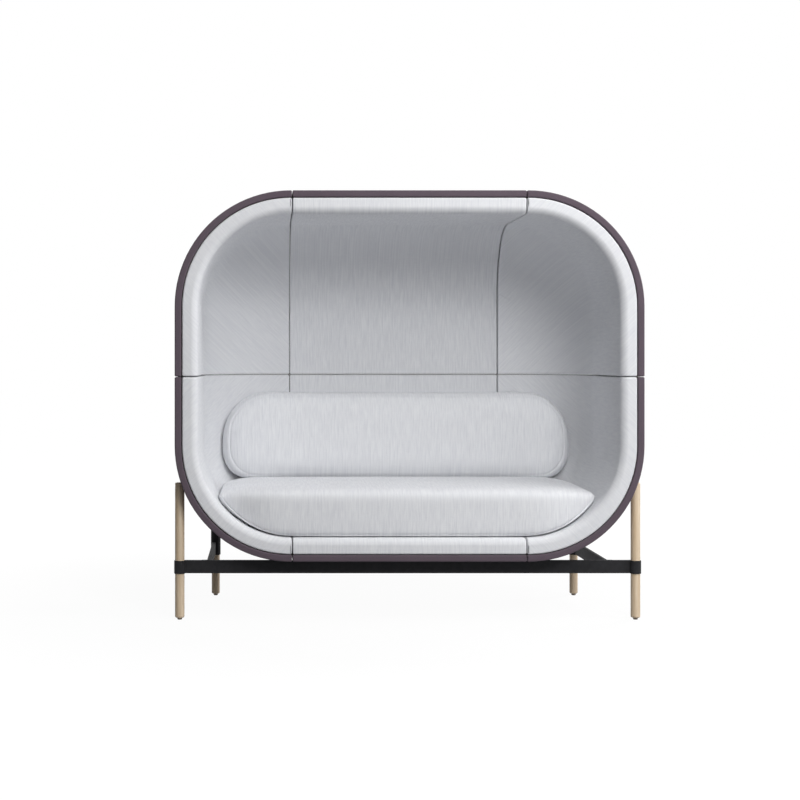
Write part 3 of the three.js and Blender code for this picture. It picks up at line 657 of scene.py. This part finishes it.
def sewn_seam(piece, distance):
    """Draws the front of a cover in along a seam, where the distance to the seam is zero."""
    front = sum(corner.co.y for corner in piece.data.vertices) / len(piece.data.vertices)
    pick(piece, "FACE", lambda face: (
        face.center.y < front and abs(distance(face.center)) < SEAM_REACH * SEAM_WIDTH))
    bpy.ops.mesh.subdivide(number_cuts=1, smoothness=0)
    bpy.ops.object.mode_set(mode="OBJECT")
    moves = {}
    for corner in piece.data.vertices:
        if corner.co.y < front:
            share = math.exp(-(distance(corner.co) / SEAM_WIDTH) ** 2)
            moves[corner.index] = corner.normal * (-SEAM_DEPTH * share)
    for index, move in moves.items():
        piece.data.vertices[index].co += move


def hem_inset(x):
    """How far in from the cover the seat's hem runs: further in towards the tips."""
    core = SHELL_HALF.x - CORNER_RADIUS
    return HEM_INSET + HEM_RISE * max(abs(x) - core, 0) / (HEM_TIP_X - core)


def rounded_back(piece):
    """Rounds the front of the seat back towards both its tips."""
    low, high = mesh_box(piece)
    for corner in piece.data.vertices:
        across = max(abs(corner.co.x) - TIP_FROM_X, 0) / (high.x - TIP_FROM_X)
        corner.co.y += TIP_BACK * across ** 2 * (high.y - corner.co.y) / (high.y - low.y)


def tucked(piece):
    """Turns the cover back under the front of the seat below its hem, which leaves a crevice."""
    front = min(corner.co.y for corner in piece.data.vertices)
    for corner in piece.data.vertices:
        below = hem_inset(corner.co.x) - TUCK_DROP - inset_at(corner.co)
        share = min(1, below / TUCK_HEIGHT) * (1 - (corner.co.y - front) / TUCK_REACH)
        if below > 0 and share > 0:
            corner.co.y += TUCK_DEPTH * share


seat = foam_block("seat_cushion", "seat_cushion_wool", SEAT_SHRINK)
stuff(seat, SEAT_SWELL)
stretched(seat, "seat_cushion", (0, 1))
rounded_back(seat)
upholstered(seat)
sewn_seam(seat, lambda point: hem_inset(point.x) - inset_at(point))
kept_off_pads(seat, REST_GAP)
tucked(seat)
dressed(seat, pale_straight, "inner_fabric", "seat_cushion", "seat_cushion")


# Back bolster: a long loose pillow in the same wool that stands on the seat and leans on the
# back pads. A seam parts its front panel from the band round its ends, top and foot.
# Its cover is fuller than its block, pressed flat on the seat and kept just off the wall.
BOLSTER_SHRINK = 0.001
BOLSTER_SWELL = 0.0045
PRESSED_BELOW, PRESSED_ABOVE = Vector((0.002, 0, 0.012)), Vector((0.002, 0.020, 0.005))
BOLSTER_WALL_GAP = 0.008
EASE_PRESSED = 3
SEAM_END_INSET, SEAM_EDGE_INSET = 0.027, 0.009
SEAM_CORNERS = {1: 0.145, -1: 0.098}
BOLSTER_MIDDLE = sum(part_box("back_bolster"), Vector()) / 2
BOLSTER_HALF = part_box("back_bolster")[1] - BOLSTER_MIDDLE


def seam_distance(point):
    """How far a point lies outside the bolster's front seam, seen from the front."""
    radius = SEAM_CORNERS[1 if point.z > BOLSTER_MIDDLE.z else -1]
    across = abs(point.x) - (BOLSTER_HALF.x - SEAM_END_INSET - radius)
    up = abs(point.z - BOLSTER_MIDDLE.z) - (BOLSTER_HALF.z - SEAM_EDGE_INSET - radius)
    return math.hypot(max(across, 0), max(up, 0)) + min(max(across, up), 0) - radius


def stood_on(piece, support, gap):
    """Presses a soft piece flat where it would reach into what it stands on."""
    surface = BVHTree.FromObject(support, bpy.context.evaluated_depsgraph_get())
    for corner in piece.data.vertices:
        above = Vector((corner.co.x, corner.co.y, SHELL_MIDDLE.z))
        place, *_ = surface.ray_cast(above, Vector((0, 0, -1)))
        if place and corner.co.z < place.z + gap:
            corner.co.z = place.z + gap


bolster = foam_block("back_bolster", "back_bolster_wool", BOLSTER_SHRINK)
stuff(bolster, BOLSTER_SWELL)
stretched(bolster, "back_bolster", (0, 1, 2), PRESSED_BELOW, PRESSED_ABOVE)
kept_off_pads(bolster, BOLSTER_WALL_GAP)
eased(bolster, EASE_PRESSED)
upholstered(bolster)
sewn_seam(bolster, seam_distance)
kept_off_pads(bolster, BOLSTER_WALL_GAP)
stood_on(bolster, seat, REST_GAP)
dressed(bolster, pale_straight, "inner_fabric", "back_bolster", "back_bolster")


# Seat welt: a thin piping in the same wool, sewn into the lower front seam of the seat cushion.
# It follows the curve of the shell from tip to tip, and runs back along both ends.
WELT_RADIUS = 0.0027
WELT_DROP = 0.0028
WELT_TIP_Z = 0.415
WELT_BACK_Y = -0.02
WELT_STEP = 0.012
WELT_SINK = 0.0006
WELT_EASE = 4
RAY_START = 1.0


def hem_line(surface):
    """Points on the seat along its hem: back along one end, round the front, and back again."""
    middle_x, middle_z = SHELL_HALF.x - CORNER_RADIUS, SHELL_LOW.z + CORNER_RADIUS
    arm = CORNER_RADIUS - HEM_INSET + WELT_DROP
    tip = math.asin((middle_z - WELT_TIP_Z) / arm)
    turns = math.ceil(arm * (math.pi / 2 - tip) / WELT_STEP)
    across = math.ceil(middle_x / WELT_STEP)
    seen = []
    for i in range(turns + 1):
        angle = tip + (math.pi / 2 - tip) * i / turns
        reach = CORNER_RADIUS + WELT_DROP - hem_inset(middle_x + arm * math.cos(angle))
        seen.append((middle_x + reach * math.cos(angle), middle_z - reach * math.sin(angle)))
    seen.extend((middle_x * (1 - i / across), middle_z - arm) for i in range(1, across + 1))
    front = []
    for x, z in seen:
        ahead = Vector((x, SHELL_FRONT - RAY_START, z))
        place, normal, *_ = surface.ray_cast(ahead, Vector((0, 1, 0)))
        if place:
            front.append(place - normal * WELT_SINK)
    steps = math.ceil((WELT_BACK_Y - front[0].y) / WELT_STEP)
    end = []
    for i in range(1, steps + 1):
        side = Vector((HEM_TIP_X, front[0].y + i * WELT_STEP, WELT_TIP_Z))
        place, normal, *_ = surface.find_nearest(side)
        end.append(place - normal * WELT_SINK)
    half = end[::-1] + front
    line = half + [Vector((-p.x, p.y, p.z)) for p in half[-2::-1]]
    for _ in range(WELT_EASE):
        inner = [(a + 2 * b + c) / 4 for a, b, c in zip(line, line[1:], line[2:])]
        line = [line[0]] + inner + [line[-1]]
    return line


def piping(name, points, radius):
    """A round cord of cloth along a line of points, closed at both ends."""
    curve = bpy.data.curves.new(name, "CURVE")
    curve.dimensions = "3D"
    curve.bevel_depth = radius
    curve.bevel_resolution = 3
    curve.use_fill_caps = True
    line = curve.splines.new("POLY")
    line.points.add(len(points) - 1)
    for knot, point in zip(line.points, points):
        knot.co = (*point, 1)
    piece = bpy.data.objects.new(name, curve)
    bpy.context.scene.collection.objects.link(piece)
    alone(piece)
    bpy.ops.object.convert(target="MESH")
    return made(name)


seat_surface = BVHTree.FromObject(seat, bpy.context.evaluated_depsgraph_get())
welt = piping("seat_welt", hem_line(seat_surface), WELT_RADIUS)
pick(welt, "FACE", lambda face: True)
bpy.ops.mesh.remove_doubles(threshold=NEAR)
bpy.ops.mesh.normals_make_consistent(inside=False)
alone(welt)
bpy.ops.object.shade_smooth()
dressed(welt, pale_straight, "inner_fabric", "seat_cushion")


# Legs: turned ash with rounded feet. The front pair stand beside the shell and are cut to its
# curve at the top, where a screw in a counterbore holds each. The rear pair plug into steel.
SIDES = {"left": -1, "right": 1}
LEGS = [(end, side) for end in ("front", "rear") for side in SIDES]
LEG_SIDES, BORE_SIDES, HEAD_BORE_SIDES = 64, 24, 32
LEG_FOOT_ROUND, LEG_FOOT_SEGMENTS = 0.0055, 8
LEG_TOP_ROUND, LEG_TOP_SEGMENTS = 0.005, 6
CUT_REACH = 0.02
SCREW_BORE = 0.0028
HEAD_BORE = 0.0053
HEAD_SINK = 0.0058
PIN_BORE = 0.0028
PIN_DEPTH = 0.0146


def made_solid(piece):
    """Closes a skin that is open in front, with its faces pointing out."""
    pick(piece, "EDGE", lambda a, b: max(a.y, b.y) < SHELL_FRONT + NEAR)
    bpy.ops.mesh.edge_face_add()
    bpy.ops.mesh.select_all(action="SELECT")
    bpy.ops.mesh.normals_make_consistent(inside=False)
    bpy.ops.object.mode_set(mode="OBJECT")
    return piece


def cut(piece, cutter):
    """Takes one closed shape out of another, and removes the shape that cut."""
    apply_modifier(piece, "BOOLEAN", object=cutter, operation="DIFFERENCE", solver="EXACT")
    bpy.data.objects.remove(cutter)


def rod(name, radius, start, end, sides=LEG_SIDES):
    """A round bar between two points."""
    bpy.ops.object.select_all(action="DESELECT")
    start, end = Vector(start), Vector(end)
    turn = (end - start).to_track_quat("Z", "Y").to_euler()
    bpy.ops.mesh.primitive_cylinder_add(
        vertices=sides, radius=radius, depth=(end - start).length, location=(start + end) / 2, rotation=turn)
    return made(name)


def post(name, radius, x, y, foot, top, sides=LEG_SIDES):
    """An upright round bar between two heights."""
    return rod(name, radius, (x, y, foot), (x, y, top), sides)


def upright(node):
    """An upright round node: its middle seen from above, its radius, its foot and its top."""
    low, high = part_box(node)
    return (low.x + high.x) / 2, (low.y + high.y) / 2, (high.y - low.y) / 2, low.z, high.z


def soften(piece, edge, segments, test):
    """Rounds the edges of a new piece that pass a test."""
    pick(piece, "EDGE", test)
    bpy.ops.mesh.bevel(offset=edge, segments=segments, affect="EDGES")
    bpy.ops.object.mode_set(mode="OBJECT")


# Ash, turned and lacquered matt: pale straw with long upright grain and a low sheen.
ash = grained(
    "lacquered_ash", {"Roughness": 0.5, "Coat Weight": 0.12, "Coat Roughness": 0.3},
    fine=0.0022, coarse=0.011, pale="#e8d4b9", dark="#d2b896", bump_depth=0.00015,
    stretch=(1, 1, 0.045))
for end, side in LEGS:
    node = f"{end}_leg_{side}"
    x, y, *_ = upright(f"{end}_glide_{side}")
    _, _, radius, foot, top = upright(node)
    leg = post(f"{node}_ash", radius, x, y, foot, top)
    soften(leg, LEG_FOOT_ROUND, LEG_FOOT_SEGMENTS, lambda a, b: max(a.z, b.z) < foot + NEAR)
    soften(leg, LEG_TOP_ROUND, LEG_TOP_SEGMENTS, lambda a, b: min(a.z, b.z) > top - NEAR)
    cut(leg, post("pin", PIN_BORE, x, y, foot - CUT_REACH, foot + PIN_DEPTH, BORE_SIDES))
    if end == "front":
        bolt_low, bolt_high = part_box(f"leg_top_bolt_{side}")
        height = (bolt_low.z + bolt_high.z) / 2
        way = SIDES[side]
        inside, outside = x - way * CUT_REACH, x + way * CUT_REACH
        head_seat = x + way * (radius - HEAD_SINK)
        cut(leg, made_solid(shell_skin("shell_shape", 0)))
        cut(leg, rod("shank", SCREW_BORE, (inside, y, height), (outside, y, height), BORE_SIDES))
        cut(leg, rod("head", HEAD_BORE, (head_seat, y, height), (outside, y, height), HEAD_BORE_SIDES))
    smooth(leg)
    dressed(leg, ash, "leg_timber", "shell_and_frame", node)


# Front rail: a flat bar of black powder coated steel, with a collar welded round each front leg
# and two tabs behind it that carry the shell on rubber spacers.
COAT_EDGE, COAT_SEGMENTS = 0.0009, 2
COLLAR_WALL = 0.0027
LEG_FIT = 0.0003
TAB_WIDTH, TAB_DEPTH, TAB_THICKNESS = 0.040, 0.032, 0.004
TAB_X = upright("shell_spacer_right")[0]
RAIL_THICKNESS = 0.012
RAIL_SETBACK = 0.001
RAIL_LOW_Z, RAIL_TOP_Z = (corner.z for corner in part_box("front_rail"))
_, FRONT_LEG_Y, FRONT_LEG_RADIUS, *_ = upright("front_leg_right")
FRONT_LEG_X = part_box("front_leg_right")[1].x - FRONT_LEG_RADIUS
RAIL_FRONT = FRONT_LEG_Y + RAIL_SETBACK
RAIL_BACK = RAIL_FRONT + RAIL_THICKNESS


def bar(name, low, high):
    """A flat bar or plate between two corners, its edges softened by the coat."""
    bpy.ops.object.select_all(action="DESELECT")
    low, high = Vector(low), Vector(high)
    bpy.ops.mesh.primitive_cube_add(size=1, location=(low + high) / 2, scale=high - low)
    piece = made(name)
    soften(piece, COAT_EDGE, COAT_SEGMENTS, lambda a, b: True)
    return piece


def weld(piece, other):
    """Joins another closed shape to a piece."""
    apply_modifier(piece, "BOOLEAN", object=other, operation="UNION", solver="EXACT")
    bpy.data.objects.remove(other)


# Powder coat baked on steel: near black, a little gritty, with almost no gloss.
coated_steel = grained(
    "black_powder_coat", {"Roughness": 0.7, "Specular IOR Level": 0.15},
    fine=0.0011, coarse=0.02, pale="#2d2d2f", dark="#242426", bump_depth=0.00009)
rail = bar(
    "front_rail_coated", (-FRONT_LEG_X, RAIL_FRONT, RAIL_LOW_Z),
    (FRONT_LEG_X, RAIL_BACK, RAIL_TOP_Z))
for way in SIDES.values():
    collar = post(
        "collar", FRONT_LEG_RADIUS + LEG_FIT + COLLAR_WALL, way * FRONT_LEG_X, FRONT_LEG_Y,
        RAIL_LOW_Z, RAIL_TOP_Z)
    soften(collar, COAT_EDGE, COAT_SEGMENTS, lambda a, b: abs(a.z - b.z) < NEAR)
    weld(rail, collar)
    weld(rail, bar(
        "tab", (way * TAB_X - TAB_WIDTH / 2, RAIL_FRONT + COAT_EDGE, RAIL_TOP_Z - TAB_THICKNESS),
        (way * TAB_X + TAB_WIDTH / 2, RAIL_BACK + TAB_DEPTH, RAIL_TOP_Z)))
for way in SIDES.values():
    cut(rail, post(
        "bore", FRONT_LEG_RADIUS + LEG_FIT, way * FRONT_LEG_X, FRONT_LEG_Y,
        RAIL_LOW_Z - CUT_REACH, RAIL_TOP_Z + CUT_REACH))
smooth(rail)
dressed(rail, coated_steel, "black_steel", "shell_and_frame", "front_rail")


# Side rails: flat bars that run back from an end plate to a steel tube over each rear leg.
# A plate on the slanted top of the tube carries the curved shell on a rubber rest.
END_PLATE_WIDTH, END_PLATE_THICKNESS = 0.046, 0.004
PLATE_WIDTH, PLATE_LENGTH, PLATE_THICKNESS = 0.066, 0.092, 0.004
REST_THICKNESS = 0.0076
TUBE_LOW_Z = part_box("side_rail_left")[0].z
RAIL_GAP = 0.0003
RAIL_START = RAIL_BACK + RAIL_GAP


def meets_shell(x, y):
    """Where an upright line meets the underside of the shell, and the way its face looks there."""
    turn = max(y - (SHELL_BACK - FILLET_RADIUS), 0)
    arm = CORNER_RADIUS - FILLET_RADIUS + math.sqrt(FILLET_RADIUS ** 2 - turn ** 2)
    across = abs(x) - (SHELL_HALF.x - CORNER_RADIUS)
    drop = math.sqrt(arm ** 2 - across ** 2)
    place = Vector((x, y, SHELL_LOW.z + CORNER_RADIUS - drop))
    lean = math.tan(math.asin(turn / FILLET_RADIUS))
    return place, Vector((math.copysign(across, x) / arm, lean, -drop / arm)).normalized()


def facing(out, place):
    """The move that takes what is drawn along +Z to a place, looking along out, one side level."""
    across = Vector((0, 0, 1)).cross(out)
    across = across.normalized() if across.length > NEAR else Vector((1, 0, 0))
    return Matrix.Translation(place) @ Matrix((across, out.cross(across), out)).transposed().to_4x4()


def moved(piece, move):
    """Moves the points of a piece by a matrix."""
    piece.data.transform(move)
    return piece


for side, way in SIDES.items():
    x, y, radius, *_ = upright(f"rear_leg_{side}")
    rail_x = x + way * RAIL_THICKNESS / 2
    place, out = meets_shell(x, y)
    on_rest = facing(out, place + out * REST_THICKNESS)
    tube = post(
        f"side_rail_{side}_coated", radius + LEG_FIT + COLLAR_WALL, x, y, TUBE_LOW_Z, place.z)
    soften(tube, COAT_EDGE, COAT_SEGMENTS, lambda a, b: max(a.z, b.z) < TUBE_LOW_Z + NEAR)
    weld(tube, bar(
        "bar", (rail_x - RAIL_THICKNESS / 2, RAIL_START, RAIL_LOW_Z),
        (rail_x + RAIL_THICKNESS / 2, y, RAIL_TOP_Z)))
    weld(tube, bar(
        "end_plate", (rail_x - END_PLATE_WIDTH / 2, RAIL_START, RAIL_LOW_Z),
        (rail_x + END_PLATE_WIDTH / 2, RAIL_START + END_PLATE_THICKNESS, RAIL_TOP_Z)))
    beyond = bar(
        "beyond", (-PLATE_LENGTH, -PLATE_LENGTH, -2 * PLATE_LENGTH),
        (PLATE_LENGTH, PLATE_LENGTH, PLATE_THICKNESS / 2))
    cut(tube, moved(beyond, on_rest))
    cut(tube, post("bore", radius + LEG_FIT, x, y, TUBE_LOW_Z - CUT_REACH, place.z + PLATE_LENGTH))
    plate = bar(
        "plate", (-PLATE_WIDTH / 2, -PLATE_LENGTH / 2, 0),
        (PLATE_WIDTH / 2, PLATE_LENGTH / 2, PLATE_THICKNESS))
    weld(tube, moved(plate, on_rest))
    smooth(tube)
    dressed(tube, coated_steel, "black_steel", "shell_and_frame", f"side_rail_{side}")


# Glides, spacers and rests: beige nylon discs under the legs, and black rubber between the frame
# and the shell, so that neither the floor nor the wool is marked.
DISC_SIDES = 48
GLIDE_EDGE, GLIDE_SEGMENTS = 0.002, 3
GLIDE_GAP = 0.0003
SPACER_EDGE, SPACER_SEGMENTS = 0.0012, 2
SHELL_BOLT_BORE = 0.0043
# Nylon, moulded: a warm grey beige, even and half matt.
nylon = grained(
    "beige_nylon", {"Roughness": 0.5}, fine=0.0008, coarse=0.008,
    pale="#8f8375", dark="#7c7166", bump_depth=0.00006)
# Rubber, moulded: black and dull, with a faint bloom.
rubber = grained(
    "black_rubber", {"Roughness": 0.8}, fine=0.0008, coarse=0.012,
    pale="#2a2a2b", dark="#222223", bump_depth=0.00008)
for end, side in LEGS:
    node = f"{end}_glide_{side}"
    x, y, radius, foot, top = upright(node)
    disc_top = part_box(f"{end}_leg_{side}")[0].z - GLIDE_GAP
    glide = post(f"{node}_nylon", radius, x, y, foot, disc_top, DISC_SIDES)
    soften(glide, GLIDE_EDGE, GLIDE_SEGMENTS, lambda a, b: max(a.z, b.z) < foot + NEAR)
    weld(glide, post("pin", PIN_BORE - GLIDE_GAP, x, y, disc_top - GLIDE_EDGE, top, BORE_SIDES))
    smooth(glide)
    dressed(glide, nylon, "glide_plastic", "shell_and_frame", node)
for side in SIDES:
    node = f"shell_spacer_{side}"
    x, y, radius, foot, top = upright(node)
    spacer = post(f"{node}_rubber", radius, x, y, foot, top, DISC_SIDES)
    soften(spacer, SPACER_EDGE, SPACER_SEGMENTS, lambda a, b: abs(a.z - b.z) < NEAR)
    cut(spacer, post("bore", SHELL_BOLT_BORE, x, y, foot - CUT_REACH, top + CUT_REACH, BORE_SIDES))
    smooth(spacer)
    dressed(spacer, rubber, "rubber", "shell_and_frame", node)
    finished_in(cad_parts[f"shell_rest_{side}"], rubber)


# Screws and bolts: zinc plated steel with round button heads and hexagon sockets. Each is drawn
# upright in its size, with a shank of its own length, and is then turned to its direction.
SCREW = {"head": 0.010, "rise": 0.004, "shank": 0.005, "key": 0.0035, "sink": 0.0025}
BOLT = {"head": 0.014, "rise": 0.005, "shank": 0.008, "key": 0.005, "sink": 0.003}
DOME_SHARE, DOME_SEGMENTS = 0.6, 5
BRIM_SHARE, BRIM_SEGMENTS = 0.1, 2
SHANK_SHARE = 0.3
KEY_SIDES = 6


def fastener(name, size, length):
    """A button head screw along +Z, with the underside of its head at zero."""
    rise = size["rise"]
    head = post(name, size["head"] / 2, 0, 0, 0, rise, DISC_SIDES)
    soften(head, rise * DOME_SHARE, DOME_SEGMENTS, lambda a, b: min(a.z, b.z) > rise - NEAR)
    soften(head, rise * BRIM_SHARE, BRIM_SEGMENTS, lambda a, b: max(a.z, b.z) < NEAR)
    cut(head, post("socket", size["key"] / math.sqrt(3), 0, 0, rise - size["sink"], 2 * rise, KEY_SIDES))
    weld(head, post("shank", size["shank"] / 2, 0, 0, -length, rise * SHANK_SHARE, BORE_SIDES))
    return head


def reach_of(node, out):
    """The middle of a screw's head top, and how long the whole screw is, along its direction."""
    corners = [corner.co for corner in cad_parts[node].data.vertices]
    top = max(corner.dot(out) for corner in corners)
    face = [corner for corner in corners if corner.dot(out) > top - NEAR]
    return sum(face, Vector()) / len(face), top - min(corner.dot(out) for corner in corners)


screws = []
for side, way in SIDES.items():
    x, y, *_ = upright(f"rear_leg_{side}")
    screws.append((f"leg_top_bolt_{side}", SCREW, Vector((way, 0, 0))))
    screws.append((f"shell_bolt_{side}", BOLT, Vector((0, 0, -1))))
    for name in ("collar_screw_{}", "upright_screw_{}", "rail_bolt_{}_1", "rail_bolt_{}_2"):
        screws.append((name.format(side), SCREW, Vector((0, 1, 0))))
    for i in (1, 2):
        screws.append((f"plate_screw_{side}_{i}", SCREW, meets_shell(x, y)[1]))
for node, size, out in screws:
    top, whole = reach_of(node, out)
    screw = fastener(f"{node}_zinc", size, whole - size["rise"])
    moved(screw, facing(out, top - out * size["rise"]))
    smooth(screw)
    dressed(screw, zinc, "zinc_steel", "shell_and_frame", node)
